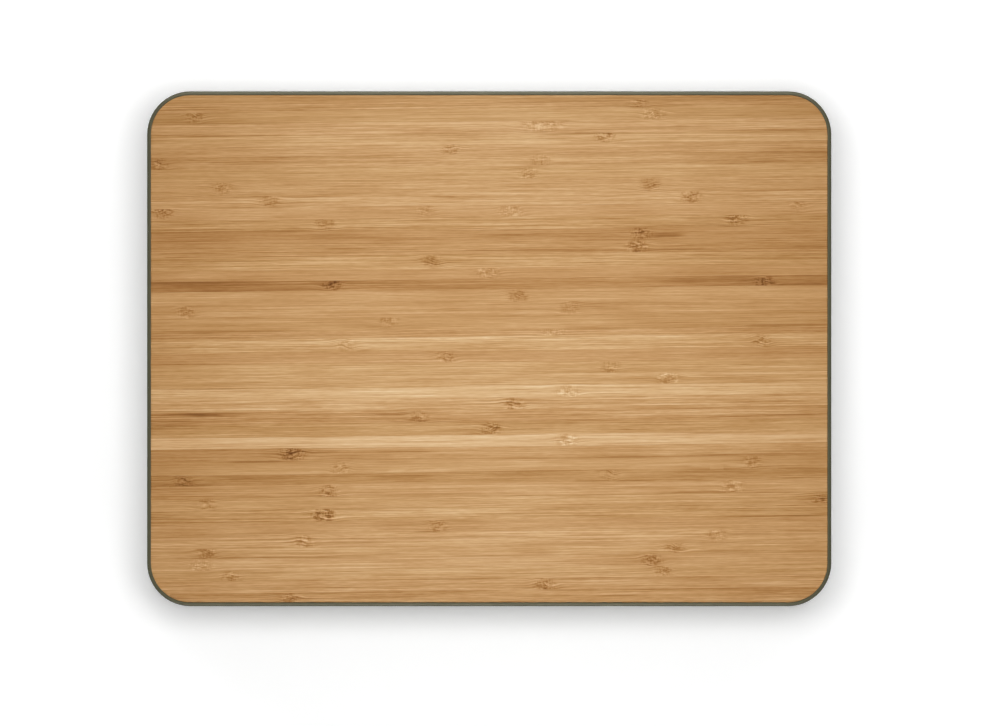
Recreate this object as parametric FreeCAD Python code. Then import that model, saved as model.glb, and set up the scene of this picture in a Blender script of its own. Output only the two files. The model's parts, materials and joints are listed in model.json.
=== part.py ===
# Bamboo cutting board in a moulded rim, standing on a low cabinet with three drawer trays.
# One wide scrap tray opens to the left end, and two narrow prep trays open to the right end.
# Millimetres. +Z is up, +X runs along the board to the right, +Y to the rear.
# The origin lies on the worktop under the middle of the body.

import FreeCAD
import Part
import os

# Body outline in plan
body_length = 380.0
body_width = 286.0
corner_radius = 24.0

# Heights, from the worktop up
foot_height = 2.0
base_thickness = 2.5
bay_height = 36.5
ledge_thickness = 3.0
board_thickness = 18.0
board_proud = 0.4

# Rim frame: the band round the board, the ledge under its edge and three cross bars
rim_wall = 2.2
rim_outer_round = 1.6
rim_inner_round = 0.2
ledge_width = 16.0
bar_width = 12.0
centre_bar_width = 12.0

# Bamboo board
board_gap = 0.1
board_edge_round = 0.4
seal_width = 1.6
seal_height = 2.0

# Side rails, hollow and open underneath, one along each long side
rail_width = 14.0
rail_outer_wall = 2.4
rail_inner_wall = 2.0
rail_roof = 2.0
rail_rib = 1.6
rail_rib_pitch = 70.0
rail_tip_round = 0.8
seam_chamfer = 0.4

# Base plate
base_inset = 0.8
base_chamfer = 0.8

# Inner walls
centre_wall_thickness = 3.0
centre_wall_boss_radius = 3.6
divider_thickness = 4.0
divider_round = 0.6
wall_seat_depth = 0.8

# Trays
tray_gap = 0.6
tray_top_gap = 0.8
tray_rear_gap = 4.0
tray_lift = 1.0
tray_wall = 2.2
tray_front_wall = 3.0
tray_floor = 2.4
tray_inner_corner = 12.0
tray_inner_floor_round = 5.0
tray_rear_corner = 8.0
tray_front_edge_round = 0.8
tray_bottom_round = 2.0
tray_lip_round = 0.8
tray_travel = 108.0

# Finger notch in the top of each tray front
scrap_notch_width = 96.0
prep_notch_width = 62.0
notch_depth = 14.0
notch_flare = 4.0
notch_straight = 1.0

# Runner strips let into the base plate, with a groove under the tray over each one
runner_width = 6.0
runner_seat_depth = 1.0
runner_bite = 0.8
runner_side_gap = 0.3
runner_from_tray_side = 22.0
runner_end_gap = 12.0

# Spring clip on each tray's rear wall, which stops the tray at the outer cross bar
clip_width = 16.0
clip_thickness = 1.4
clip_leg = 12.0
clip_leaf_thickness = 1.2
clip_leaf_length = 17.0
clip_leaf_gap = 1.0
clip_notch_depth = 2.0
clip_side_gap = 0.2
stop_gap = 0.3

# Soft bumpers in the centre wall
bumper_radius = 4.0
bumper_stem_radius = 1.6
bumper_gap = 0.3
bumper_round = 0.8
scrap_bumper_from_tray_side = 42.0
prep_bumper_from_tray_side = 34.0

# Feet, seated in round recesses under the base plate
foot_radius = 8.0
foot_round = 0.6
foot_seat_depth = 0.8
foot_seat_gap = 0.1
foot_from_edge = 20.0

# Long screws, from under the base plate through the rails and the ledge into the board
long_screw_radius = 2.0
long_screw_head_radius = 4.0
long_screw_grip = 12.0
long_screw_outer_from_end = 50.0
long_screw_inner_from_end = 142.0
long_screw_tube_wall = 1.8

# Board screws, up through the cross bars into the board
board_screw_radius = 1.75
board_screw_head_radius = 3.5
board_screw_grip = 10.0
board_screw_from_edge = 59.0

# Wall screws, from under the base plate into the bosses of the centre wall
wall_screw_radius = 1.5
wall_screw_head_radius = 3.0
wall_screw_grip = 12.0

# What all the screws have in common
screw_sink = 0.2
screw_tip_length = 2.5
screw_tip_radius = 0.5
screw_slack = 0.2
thread_slack = 0.05
recess_reach = 1.4
recess_width = 0.9
recess_depth = 1.2

# Levels and planes that several pieces share
base_bottom = foot_height
base_top = base_bottom + base_thickness
bay_top = base_top + bay_height
board_bottom = bay_top + ledge_thickness
board_top = board_bottom + board_thickness
rim_top = board_top - board_proud
half_length = body_length / 2
half_width = body_width / 2
jamb = half_width - rail_width
rail_middle = half_width - rail_width / 2 - (rail_outer_wall - rail_inner_wall) / 2
tray_bottom = base_top + tray_lift
tray_top = bay_top - tray_top_gap
tray_rear = centre_wall_thickness / 2 + tray_rear_gap
tray_rear_inside = tray_rear + tray_wall
runner_top = tray_bottom + runner_bite
clip_leaf_end = tray_rear_inside + clip_leaf_length
bar_inner_face = clip_leaf_end + tray_travel + stop_gap
bar_middle = bar_inner_face + bar_width / 2
overrun = 5.0
tiny = 1e-6
sharpest_corner = 0.5


def vec(x, y, z):
    return FreeCAD.Vector(x, y, z)


def block(x_low, x_high, y_low, y_high, z_low, z_high):
    size = (x_high - x_low, y_high - y_low, z_high - z_low)
    return Part.makeBox(*size, vec(x_low, y_low, z_low))


def rod(x, y, radius, z_low, z_high):
    return Part.makeCylinder(radius, z_high - z_low, vec(x, y, z_low))


def rod_along_x(y, z, radius, x_low, x_high):
    return Part.makeCylinder(radius, x_high - x_low, vec(x_low, y, z), vec(1, 0, 0))


def upright_edges(solid):
    """The straight edges that run along Z."""
    found = []
    for edge in solid.Edges:
        box = edge.BoundBox
        if box.ZLength > tiny and box.XLength < tiny and box.YLength < tiny:
            found.append(edge)
    return found


def edges_at_level(solid, z):
    """The edges that lie flat at height z."""
    return [e for e in solid.Edges
            if abs(e.BoundBox.ZMin - z) < tiny and abs(e.BoundBox.ZMax - z) < tiny]


def rounded_block(x_low, x_high, y_low, y_high, z_low, z_high, radius):
    """Block with its four upright edges rounded."""
    solid = block(x_low, x_high, y_low, y_high, z_low, z_high)
    return solid.makeFillet(radius, upright_edges(solid))


def outline_plate(inset, z_low, z_high):
    """The body's rounded outline, drawn in by inset, between two heights."""
    x = half_length - inset
    y = half_width - inset
    return rounded_block(-x, x, -y, y, z_low, z_high, max(corner_radius - inset, sharpest_corner))


def mirrored_x(solid):
    return solid.mirror(vec(0, 0, 0), vec(1, 0, 0))


def mirrored_y(solid):
    return solid.mirror(vec(0, 0, 0), vec(0, 1, 0))


def joined(solids):
    whole = solids[0]
    for solid in solids[1:]:
        whole = whole.fuse(solid)
    return whole.removeSplitter()


def drilled(solid, tools):
    for tool in tools:
        solid = solid.cut(tool)
    return solid


def countersunk_screw(x, y, face, radius, head_radius, point):
    """Countersunk screw driven up through a face at height face, with its tip at height point."""
    head_low = face + screw_sink
    head_high = head_low + head_radius - radius
    shank_high = point - screw_tip_length
    head = Part.makeCone(head_radius, radius, head_high - head_low, vec(x, y, head_low))
    shank = rod(x, y, radius, head_high, shank_high)
    tip = Part.makeCone(radius, screw_tip_radius, screw_tip_length, vec(x, y, shank_high))
    half = recess_width / 2
    recess_top = head_low + recess_depth
    slot = block(x - recess_reach, x + recess_reach, y - half, y + half, face, recess_top)
    cross = block(x - half, x + half, y - recess_reach, y + recess_reach, face, recess_top)
    return drilled(joined([head, shank, tip]), [slot, cross])


def screw_way(x, y, face, radius, head_radius, top):
    """The clearance hole for a countersunk_screw, from its face up to height top."""
    wide = head_radius + thread_slack
    narrow = radius + thread_slack
    seat_low = face + screw_sink
    mouth = rod(x, y, wide, face - overrun, seat_low)
    seat = Part.makeCone(wide, narrow, head_radius - radius, vec(x, y, seat_low))
    return joined([mouth, seat, rod(x, y, radius + screw_slack, seat_low, top)])


def long_screw_places():
    """Where the long screws stand along each rail."""
    outer = half_length - long_screw_outer_from_end
    inner = half_length - long_screw_inner_from_end
    return (-outer, -inner, inner, outer)


def long_screw_spots():
    return [(x, side * rail_middle) for side in (-1, 1) for x in long_screw_places()]


def long_screw_ways():
    return [screw_way(x, y, base_bottom, long_screw_radius, long_screw_head_radius, board_bottom)
            for x, y in long_screw_spots()]


def board_screw_spots():
    y = half_width - board_screw_from_edge
    return [(x, side * y) for x in (-bar_middle, 0, bar_middle) for side in (-1, 1)]


def board_screw_ways():
    return [screw_way(x, y, bay_top, board_screw_radius, board_screw_head_radius, board_bottom)
            for x, y in board_screw_spots()]


def wall_screw_spots():
    """One screw behind the middle of each prep tray."""
    return [(0, (low + high) / 2) for low, high, side in tray_bays().values() if side > 0]


def wall_screw_ways():
    return [screw_way(x, y, base_bottom, wall_screw_radius, wall_screw_head_radius, base_top)
            for x, y in wall_screw_spots()]


def thread_holes(spots, radius, low, high):
    return [rod(x, y, radius + thread_slack, low - overrun, high) for x, y in spots]


def make_bamboo_board():
    inset = rim_wall + board_gap
    board = outline_plate(inset, board_bottom, board_top)
    board = board.makeFillet(board_edge_round, edges_at_level(board, board_top))
    seat_top = board_bottom + seal_height
    rebate = outline_plate(0, board_bottom - overrun, seat_top)
    rebate = rebate.cut(outline_plate(inset + seal_width, board_bottom - overrun, seat_top))
    holes = thread_holes(long_screw_spots(), long_screw_radius, board_bottom, board_bottom + long_screw_grip)
    holes += thread_holes(board_screw_spots(), board_screw_radius, board_bottom,
                          board_bottom + board_screw_grip)
    return drilled(board, [rebate] + holes)


def make_rim_frame():
    frame = outline_plate(0, bay_top, rim_top)
    frame = frame.makeChamfer(seam_chamfer, edges_at_level(frame, bay_top))
    frame = frame.makeFillet(rim_outer_round, edges_at_level(frame, rim_top))
    pocket = outline_plate(rim_wall, board_bottom, rim_top + overrun)
    window = outline_plate(ledge_width, bay_top - overrun, board_bottom + overrun)
    frame = frame.cut(pocket).cut(window)
    span = half_width - ledge_width
    bars = [block(middle - width / 2, middle + width / 2, -span, span, bay_top, board_bottom)
            for middle, width in cross_bars()]
    frame = joined([frame] + bars)
    frame = frame.makeFillet(rim_inner_round, inner_rim_edges(frame))
    return drilled(frame, long_screw_ways() + board_screw_ways())


def cross_bars():
    """Middle and width of each cross bar."""
    return ((-bar_middle, bar_width), (0, centre_bar_width), (bar_middle, bar_width))


def inner_rim_edges(frame):
    """Of the flat edges at the top of the rim, those of the pocket that holds the board."""
    limit_x = half_length - rim_wall + tiny
    limit_y = half_width - rim_wall + tiny
    return [e for e in edges_at_level(frame, rim_top)
            if max(e.BoundBox.XMax, -e.BoundBox.XMin) < limit_x
            and max(e.BoundBox.YMax, -e.BoundBox.YMin) < limit_y]


def make_board_seal():
    ring = outline_plate(rim_wall, board_bottom, board_bottom + seal_height)
    hollow = outline_plate(rim_wall + board_gap + seal_width, board_bottom - overrun, board_top)
    return ring.cut(hollow)


def make_rear_side_rail():
    room = block(-half_length, half_length, jamb, half_width, base_top, bay_top)
    rail = outline_plate(0, base_top, bay_top).common(room)
    rail = rail.makeFillet(rail_tip_round, tip_edges(rail))
    roof = bay_top - rail_roof
    inner_face = jamb + rail_inner_wall
    outer_face = half_width - rail_outer_wall
    hollow_room = block(-half_length, half_length, inner_face, outer_face, base_top - overrun, roof)
    hollow = outline_plate(rail_outer_wall, base_top - overrun, roof).common(hollow_room)
    rail = rail.cut(hollow)
    tube_radius = long_screw_radius + screw_slack + long_screw_tube_wall
    tubes = [rod(x, rail_middle, tube_radius, base_top, roof).common(hollow) for x in long_screw_places()]
    ribs = [block(x - rail_rib / 2, x + rail_rib / 2, inner_face, outer_face, base_top, roof)
            for x in rail_rib_places()]
    return drilled(joined([rail] + tubes + ribs), long_screw_ways())


def rail_rib_places():
    """Where the ribs stand inside each rail, evenly spaced from the middle."""
    count = int((half_length - corner_radius) / rail_rib_pitch)
    return [i * rail_rib_pitch for i in range(-count, count + 1)]


def tip_edges(rail):
    """The upright edges where the rail's round outside meets the drawer opening."""
    return [e for e in upright_edges(rail) if abs(e.BoundBox.YMin - jamb) < tiny]


def make_base_plate():
    base = outline_plate(base_inset, base_bottom, base_top)
    base = base.makeChamfer(base_chamfer, edges_at_level(base, base_bottom))
    cuts = long_screw_ways() + wall_screw_ways()
    cuts += [rod(x, y, foot_radius + foot_seat_gap, base_bottom - overrun, base_bottom + foot_seat_depth)
             for x, y in foot_spots().values()]
    for low, high, side in tray_bays().values():
        cuts += runner_strips(low, high, side)
    return drilled(base, cuts + [make_centre_wall_blank(), make_tray_divider_blank()])


def make_centre_wall_blank():
    half = centre_wall_thickness / 2
    return block(-half, half, -jamb, jamb, base_top - wall_seat_depth, bay_top)


def make_centre_wall():
    wall = make_centre_wall_blank()
    bosses = [rod(x, y, centre_wall_boss_radius, base_top, bay_top) for x, y in wall_screw_spots()]
    wall = joined([wall] + bosses)
    holes = thread_holes(wall_screw_spots(), wall_screw_radius, base_top, base_top + wall_screw_grip)
    half = centre_wall_thickness / 2
    holes += [rod_along_x(y, bumper_height(), bumper_stem_radius, -half, half) for y, side in bumper_spots()]
    return drilled(wall, wall_screw_ways() + holes + [make_tray_divider_blank()])


def make_tray_divider_blank():
    half = divider_thickness / 2
    rear = centre_wall_thickness / 2 - wall_seat_depth
    return block(rear, half_length, -half, half, base_top - wall_seat_depth, bay_top)


def make_tray_divider():
    divider = make_tray_divider_blank()
    ends = [e for e in upright_edges(divider) if abs(e.BoundBox.XMax - half_length) < tiny]
    divider = divider.makeFillet(divider_round, ends)
    seat_end = half_length - base_inset - base_chamfer
    half = divider_thickness / 2
    return divider.cut(block(seat_end, half_length, -half, half, base_bottom, base_top))


def foot_spots():
    """Foot name to its place in plan."""
    x = half_length - foot_from_edge
    y = half_width - foot_from_edge
    return {"foot_front_left": (-x, -y), "foot_front_right": (x, -y), "foot_rear_left": (-x, y),
            "foot_rear_right": (x, y)}


def make_foot(x, y):
    pad = rod(x, y, foot_radius, 0, base_bottom + foot_seat_depth)
    return pad.makeFillet(foot_round, edges_at_level(pad, 0))


def tray_bays():
    """Tray name to the Y limits of the tray's sides and the end that it opens to, -1 for left."""
    outer = jamb - tray_gap
    inner = divider_thickness / 2 + tray_gap
    return {"scrap_tray": (-outer, outer, -1), "prep_tray_front": (-outer, -inner, 1),
            "prep_tray_rear": (inner, outer, 1)}


def on_side(solid, side):
    """A solid drawn for the right end, moved to the left end where side is -1."""
    return solid if side > 0 else mirrored_x(solid)


def runner_spots(low, high):
    return (low + runner_from_tray_side, high - runner_from_tray_side)


def runner_strips(low, high, side):
    """The two strips under one tray, from their seats in the base plate up to the tray's grooves."""
    rear = tray_rear + runner_end_gap
    front = half_length - runner_end_gap
    half = runner_width / 2
    strips = [block(rear, front, y - half, y + half, base_top - runner_seat_depth, runner_top)
              for y in runner_spots(low, high)]
    return [on_side(strip, side) for strip in strips]


def runner_grooves(low, high):
    """The grooves under one tray, open at the tray's rear end."""
    front = half_length - runner_end_gap + runner_side_gap
    half = runner_width / 2 + runner_side_gap
    return [block(tray_rear - overrun, front, y - half, y + half, tray_bottom - overrun, runner_top)
            for y in runner_spots(low, high)]


def finger_notch(middle, width):
    """Round-bottomed slot through the tray front."""
    floor = tray_top - notch_depth
    inside = half_length - tray_front_wall - overrun
    half = width / 2
    slot = block(inside, half_length + overrun, middle - half, middle + half, floor, tray_top + overrun)
    corners = [e for e in edges_at_level(slot, floor) if e.BoundBox.XLength > tiny]
    return slot.makeFillet(notch_depth - notch_flare - notch_straight, corners)


def flare_edges(tray, middle, width):
    """The two edges where the finger notch meets the top of the tray front."""
    front_inside = half_length - tray_front_wall - tiny
    return [e for e in edges_at_level(tray, tray_top)
            if e.BoundBox.YLength < tiny and e.BoundBox.XMin > front_inside
            and abs(abs(e.BoundBox.YMin - middle) - width / 2) < tiny]


def clip_notch(middle):
    """Slot in the tray's rear wall that the stop clip sits in."""
    half = clip_width / 2 + clip_side_gap
    floor = tray_top - clip_notch_depth
    return block(tray_rear, tray_rear_inside, middle - half, middle + half, floor, tray_top)


def make_tray(low, high, side, notch_width):
    middle = (low + high) / 2
    tray = make_tray_outside(low, high)
    tray = drilled(tray, [make_tray_hollow(low, high), finger_notch(middle, notch_width)])
    tray = tray.makeFillet(notch_flare, flare_edges(tray, middle, notch_width))
    tray = tray.makeFillet(tray_lip_round, lip_edges(tray, middle, notch_width))
    return on_side(drilled(tray, runner_grooves(low, high) + [clip_notch(middle)]), side)


def make_tray_outside(low, high):
    """The tray as a full block, with its front on the body's outline."""
    room = block(tray_rear, half_length, low, high, tray_bottom, tray_top)
    tray = outline_plate(0, tray_bottom, tray_top).common(room)
    rear_edges = [e for e in upright_edges(tray) if abs(e.BoundBox.XMax - tray_rear) < tiny]
    tray = tray.makeFillet(tray_rear_corner, rear_edges)
    front_edges = [e for e in upright_edges(tray) if is_front_corner(e, low, high)]
    tray = tray.makeFillet(tray_front_edge_round, front_edges)
    return tray.makeFillet(tray_bottom_round, edges_at_level(tray, tray_bottom))


def make_tray_hollow(low, high):
    floor = tray_bottom + tray_floor
    front = half_length - tray_front_wall
    hollow = rounded_block(tray_rear_inside, front, low + tray_wall, high - tray_wall, floor,
                           tray_top + overrun, tray_inner_corner)
    return hollow.makeFillet(tray_inner_floor_round, edges_at_level(hollow, floor))


def is_front_corner(edge, low, high):
    """True for the upright edges where a tray's front meets its two sides."""
    box = edge.BoundBox
    beside = abs(box.YMin - low) < tiny or abs(box.YMin - high) < tiny
    return beside and box.XMin > half_length - corner_radius


def lip_edges(tray, middle, notch_width):
    """The edges round the top of a tray, and those that follow the finger notch down and up again."""
    found = edges_at_level(tray, tray_top)
    notch_floor = tray_top - notch_depth
    reach = notch_width / 2 + notch_flare
    for edge in tray.Edges:
        box = edge.BoundBox
        on_front = box.XLength < tiny and box.XMin > half_length - tray_front_wall - tiny
        beside_notch = max(box.YMax - middle, middle - box.YMin) < reach + tiny
        if on_front and beside_notch and notch_floor - tiny < box.ZMin < tray_top - tiny:
            found.append(edge)
    return found


def make_stop_clip(low, high, side):
    """Saddle over the tray's rear wall, with a leaf that rises towards the front of the tray."""
    middle = (low + high) / 2
    saddle_floor = tray_top - clip_notch_depth
    saddle_top = saddle_floor + clip_thickness
    outside = tray_rear - clip_thickness
    inside = tray_rear_inside + clip_thickness
    leaf_top = board_bottom - clip_leaf_gap
    leg_foot = saddle_floor - clip_leg
    profile = [
        (outside, leg_foot), (tray_rear, leg_foot), (tray_rear, saddle_floor),
        (tray_rear_inside, saddle_floor), (tray_rear_inside, leg_foot), (inside, leg_foot),
        (inside, saddle_floor), (clip_leaf_end, leaf_top - clip_leaf_thickness),
        (clip_leaf_end, leaf_top), (outside, saddle_top),
    ]
    points = [vec(x, middle - clip_width / 2, z) for x, z in profile]
    wire = Part.makePolygon(points + points[:1])
    return on_side(Part.Face(wire).extrude(vec(0, clip_width, 0)), side)


def bumper_height():
    return (tray_bottom + tray_top) / 2


def bumper_spots():
    """Y place of each bumper and the end that it faces."""
    spots = []
    for low, high, side in tray_bays().values():
        inset = scrap_bumper_from_tray_side if side < 0 else prep_bumper_from_tray_side
        spots += [(low + inset, side), (high - inset, side)]
    return spots


def make_bumper(y, side):
    wall = centre_wall_thickness / 2
    z = bumper_height()
    head = rod_along_x(y, z, bumper_radius, wall, tray_rear - bumper_gap)
    outer = [e for e in head.Edges if abs(e.BoundBox.XMin - tray_rear + bumper_gap) < tiny]
    head = head.makeFillet(bumper_round, outer)
    stem = rod_along_x(y, z, bumper_stem_radius, -wall, wall)
    return on_side(joined([head, stem]), side)


def make_screws(spots, face, radius, head_radius, point):
    return Part.makeCompound([countersunk_screw(x, y, face, radius, head_radius, point)
                              for x, y in spots])


def make_assembly_screws():
    point = board_bottom + long_screw_grip
    return make_screws(long_screw_spots(), base_bottom, long_screw_radius, long_screw_head_radius, point)


def make_board_screws():
    point = board_bottom + board_screw_grip
    return make_screws(board_screw_spots(), bay_top, board_screw_radius, board_screw_head_radius, point)


def make_centre_wall_screws():
    point = base_top + wall_screw_grip
    return make_screws(wall_screw_spots(), base_bottom, wall_screw_radius, wall_screw_head_radius, point)


def all_pieces():
    """Piece name to its solid, or to a group of like solids."""
    rear_rail = make_rear_side_rail()
    pieces = {
        "bamboo_board": make_bamboo_board(),
        "rim_frame": make_rim_frame(),
        "board_seal": make_board_seal(),
        "rear_side_rail": rear_rail,
        "front_side_rail": mirrored_y(rear_rail),
        "base_plate": make_base_plate(),
        "centre_wall": make_centre_wall(),
        "tray_divider": make_tray_divider(),
        "tray_bumpers": Part.makeCompound([make_bumper(y, side) for y, side in bumper_spots()]),
        "assembly_screws": make_assembly_screws(),
        "board_screws": make_board_screws(),
        "centre_wall_screws": make_centre_wall_screws(),
    }
    for name, (x, y) in foot_spots().items():
        pieces[name] = make_foot(x, y)
    for name, (low, high, side) in tray_bays().items():
        notch_width = scrap_notch_width if side < 0 else prep_notch_width
        pieces[name] = make_tray(low, high, side, notch_width)
        pieces[f"{name}_stop_clip"] = make_stop_clip(low, high, side)
        pieces[f"{name}_runners"] = Part.makeCompound(runner_strips(low, high, side))
    return pieces


def main():
    os.makedirs("parts", exist_ok=True)
    for name, shape in all_pieces().items():
        solids = shape.Solids
        print(name, len(solids), "solids", round(shape.Volume, 1), "mm3", "valid", shape.isValid())
        shape.exportStep(f"parts/{name}.step")


main()
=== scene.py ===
# Looks of the bamboo cutting board with drawer trays: its strips, finishes, floor, light and camera.
# Metres, in the same frame as the solids. Sizes that are easier to read in millimetres say so in their names.

import json
import math
import random

import bmesh
import bpy
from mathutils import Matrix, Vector


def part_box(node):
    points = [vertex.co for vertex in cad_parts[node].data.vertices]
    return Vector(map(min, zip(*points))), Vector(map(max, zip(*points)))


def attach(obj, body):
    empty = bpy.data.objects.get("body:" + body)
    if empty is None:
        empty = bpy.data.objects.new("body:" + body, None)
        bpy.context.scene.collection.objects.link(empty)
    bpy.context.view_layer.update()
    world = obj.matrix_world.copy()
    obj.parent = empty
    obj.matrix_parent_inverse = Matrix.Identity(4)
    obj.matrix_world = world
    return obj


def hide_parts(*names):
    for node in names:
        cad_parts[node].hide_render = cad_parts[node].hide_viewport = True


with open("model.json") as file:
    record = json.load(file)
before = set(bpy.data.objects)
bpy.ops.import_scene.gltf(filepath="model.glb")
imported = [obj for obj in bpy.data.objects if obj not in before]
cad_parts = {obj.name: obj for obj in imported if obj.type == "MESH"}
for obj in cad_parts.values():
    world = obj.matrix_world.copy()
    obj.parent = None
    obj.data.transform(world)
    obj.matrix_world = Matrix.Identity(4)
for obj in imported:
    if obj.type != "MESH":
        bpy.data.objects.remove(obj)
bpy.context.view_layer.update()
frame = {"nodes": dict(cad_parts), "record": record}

MM = 0.001

# Shape of the board, beside what the frame gives
BODY_CORNER_MM = 24.0
SEAL_WIDTH_MM = 1.6
BOARD_ROUND_MM = 0.4
ROUND_STEPS = 4
CORNER_STEPS = 14

# Lie of the strips: lean of the grain, waver of the glue lines, the sheet of faces that they are cut from,
# and the seed of all that differs by chance
GRAIN_LEAN = 0.0115
WAVER_MM = 0.22
WAVER_LENGTH_MM = 46.0
COLUMN_MM = 7.5
SHEET_REACH_MM = 200.0
REAR_LIMIT_MM = 150.0
STRIP_SEED = 7

# Tones from 0, the darkest flecks, to 1, the palest fibre
TONES = {
    "dark": 0.565, "brown": 0.60, "amber": 0.635, "tan": 0.665, "light": 0.69, "fair": 0.715, "cream": 0.745,
    "pale": 0.80, "palest": 0.84,
}

# Strips from the rear to the front: front edge in mm at the middle of the board, and tone
STRIPS = [
    (137.2, "brown"), (132.8, "amber"), (126.2, "light"), (119.3, "cream"), (113.4, "cream"),
    (107.9, "fair"), (101.2, "fair"), (94.0, "light"), (86.2, "light"), (79.6, "fair"),
    (72.9, "tan"), (66.3, "tan"), (59.6, "brown"), (52.4, "amber"), (44.9, "tan"),
    (38.9, "amber"), (33.1, "dark"), (25.8, "tan"), (18.2, "tan"), (10.8, "amber"),
    (6.9, "amber"), (-0.9, "pale"), (-7.5, "tan"), (-14.2, "light"), (-20.6, "fair"),
    (-26.9, "palest"), (-33.6, "cream"), (-40.5, "amber"), (-47.6, "amber"), (-54.1, "palest"),
    (-61.1, "tan"), (-68.3, "light"), (-74.1, "dark"), (-81.3, "light"), (-87.9, "light"),
    (-94.8, "fair"), (-101.6, "tan"), (-109.0, "fair"), (-114.9, "fair"), (-121.2, "fair"),
    (-127.3, "fair"), (-134.0, "tan"), (-150.0, "amber"),
]

# Strips that change along their length: front edge, and what the tone gains at the left and right ends
DRIFTS = {
    137.2: (0.02, -0.09), 126.2: (-0.06, -0.02), 113.4: (-0.04, 0.0), 107.9: (-0.03, -0.01),
    101.2: (-0.06, -0.12), 72.9: (0.07, 0.04), 66.3: (-0.04, -0.04), 52.4: (0.0, -0.02),
    33.1: (-0.08, -0.05), 25.8: (0.06, 0.05), 18.2: (0.0, 0.01), 10.8: (0.04, 0.01),
    -0.9: (-0.1, -0.04), -20.6: (0.0, 0.04), -40.5: (-0.06, 0.04), -47.6: (0.0, 0.06),
    -61.1: (-0.07, 0.02), -68.3: (-0.05, -0.02), -74.1: (-0.02, 0.06), -81.3: (-0.03, 0.05),
    -94.8: (-0.06, -0.1), -114.9: (0.02, -0.04), -121.2: (0.05, -0.03), -134.0: (0.03, 0.02),
}

# Strips with a dark glue line along their rear edge: front edge, and how dark
DARK_LINES = {
    107.9: 0.7, 72.9: 0.8, 59.6: 0.9, 52.4: 0.7, 33.1: 1.0, 6.9: 0.7,
    -26.9: 0.8, -54.1: 0.6, -74.1: 1.0, -114.9: 0.5, -134.0: 0.6, -150.0: 0.8,
}

# Kinds of knuckle, where a strip was cut through a joint of the cane: darkness and paleness of its flecks,
# how brown it is all over, and half length in mm
KNUCKLES = {
    "usual": (0.6, 0.5, 0.3, 4.5), "dark": (0.95, 0.5, 0.7, 5.0), "black": (1.4, 0.55, 1.2, 6.0),
    "brown": (0.5, 0.3, 1.3, 5.0), "faint": (0.35, 0.4, 0.1, 4.5), "ringed": (0.5, 0.95, 0.0, 5.5),
    "long": (0.55, 0.8, 0.2, 10.0), "starry": (1.0, 0.95, 0.5, 5.0),
}

# Knuckles: where they lie in mm, and kind
KNUCKLE_SPOTS = [
    (-163.5, 128.8, "usual"), (-183.5, 102.0, "usual"), (-148.0, 89.5, "usual"),
    (-122.5, 82.3, "brown"), (-181.0, 76.0, "dark"), (-21.0, 110.3, "usual"),
    (-35.6, 77.3, "faint"), (-91.0, 69.5, "brown"), (83.0, 137.0, "usual"),
    (91.0, 130.0, "ringed"), (29.0, 124.3, "long"), (64.0, 118.3, "dark"),
    (28.5, 104.0, "usual"), (22.0, 96.8, "usual"), (89.5, 91.3, "brown"),
    (12.0, 76.5, "ringed"), (84.3, 64.0, "dark"), (82.0, 56.8, "starry"),
    (112.0, 84.5, "dark"), (137.5, 72.5, "dark"), (-168.0, 20.5, "usual"),
    (-32.0, 48.8, "brown"), (-0.4, 42.5, "ringed"), (-86.8, 35.5, "dark"),
    (-55.5, 16.0, "usual"), (-79.5, 1.8, "faint"), (-24.0, -5.0, "usual"),
    (16.0, 29.2, "brown"), (35.5, 10.0, "ringed"), (67.3, -10.0, "usual"),
    (43.6, -24.2, "ringed"), (13.4, -31.2, "dark"), (99.3, -16.8, "ringed"),
    (152.5, 36.8, "dark"), (150.9, 4.6, "usual"), (-38.8, -38.0, "usual"),
    (-109.2, -58.4, "black"), (-169.5, -73.6, "usual"), (-156.6, -86.2, "usual"),
    (-91.8, -92.0, "black"), (-102.5, -107.3, "usual"), (-156.5, -113.0, "usual"),
    (-159.8, -120.5, "ringed"), (-143.2, -127.0, "usual"), (-110.2, -138.7, "usual"),
    (1.4, -44.5, "dark"), (-82.5, -66.6, "usual"), (-89.2, -79.2, "dark"),
    (-28.8, -98.2, "usual"), (43.2, -50.6, "ringed"), (66.5, -69.5, "faint"),
    (90.5, -117.2, "dark"), (96.5, -123.5, "usual"), (102.8, -109.6, "brown"),
    (31.0, -131.2, "dark"), (146.0, -62.8, "usual"), (135.1, -76.5, "ringed"),
    (185.0, -84.2, "dark"), (126.6, -103.3, "usual"), (45.0, 23.0, "faint"),
    (171.0, 80.0, "faint"),
]

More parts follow.
